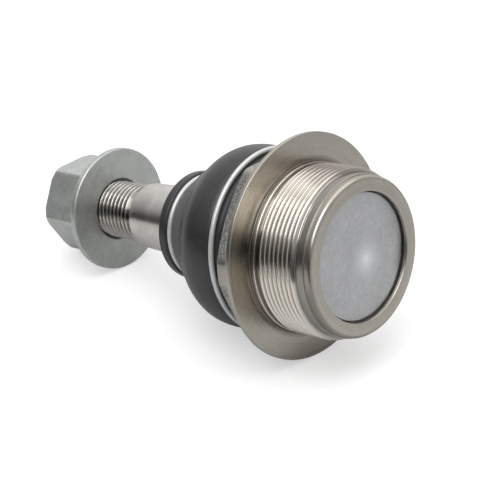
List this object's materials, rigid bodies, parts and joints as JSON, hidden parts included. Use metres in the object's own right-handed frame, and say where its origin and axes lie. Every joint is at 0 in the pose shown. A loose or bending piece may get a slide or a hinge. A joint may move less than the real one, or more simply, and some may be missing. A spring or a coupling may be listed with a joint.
{
  "type": "suspension ball joint",
  "caption": "Screw-in suspension ball joint: threaded flanged housing with a rolled-in cover, ball stud in bearing shells, rubber dust boot with wire rings, tapered shank and flange nut.",
  "frame": {"origin": "centre of the ball, which is also on the axis of the housing's hexagon", "axes": "+Z along the stud towards its nut, with the housing's cover plate facing -Z; +X out through the middle of one flat of the housing's hexagon"},
  "size_m": [0.06, 0.06, 0.1093],
  "materials": {
    "housing_steel": "satin",
    "cover_steel": "matte",
    "stud_steel": "polished",
    "nut_zinc": "matte",
    "spring_wire": "polished",
    "boot_rubber": "matte",
    "bearing_polymer": "matte",
    "locking_nylon": "matte"
  },
  "bodies": {
    "socket": {"housing": "housing_steel", "upper_bearing_shell": "bearing_polymer", "lower_bearing_shell": "bearing_polymer", "cover_plate": "cover_steel", "large_boot_ring": "spring_wire"},
    "boot": {"dust_boot": "boot_rubber"},
    "swivel": {"small_boot_ring": "spring_wire"},
    "pin": {"ball_stud": "stud_steel"},
    "nut_carrier": {"nut_locking_ring": "locking_nylon"},
    "nut": {"flange_nut": "nut_zinc"}
  },
  "joints": [
    {"name": "swing_x", "type": "hinge", "parent": "socket", "child": "boot", "pos_m": [0, 0, 0], "axis": [1, 0, 0], "range_deg": [-18, 18], "deforming": ["dust_boot"]},
    {"name": "swing_y", "type": "hinge", "parent": "boot", "child": "swivel", "pos_m": [0, 0, 0], "axis": [0, 1, 0], "range_deg": [-18, 18]},
    {"name": "stud_spin", "type": "hinge", "parent": "swivel", "child": "pin", "pos_m": [0, 0, 0], "axis": [0, 0, 1], "continuous": true},
    {"name": "nut_travel", "type": "slide", "parent": "pin", "child": "nut_carrier", "axis": [0, 0, 1], "range_m": [-0.0091, 0.0151]},
    {"name": "nut_turn", "type": "hinge", "parent": "nut_carrier", "child": "nut", "pos_m": [0, 0, 0.0681], "axis": [0, 0, 1], "range_deg": [-2160, 3600]}
  ],
  "couplings": [
    {"joint": "nut_travel", "follows": "nut_turn", "m_per_rad": 0.00023873}
  ]
}
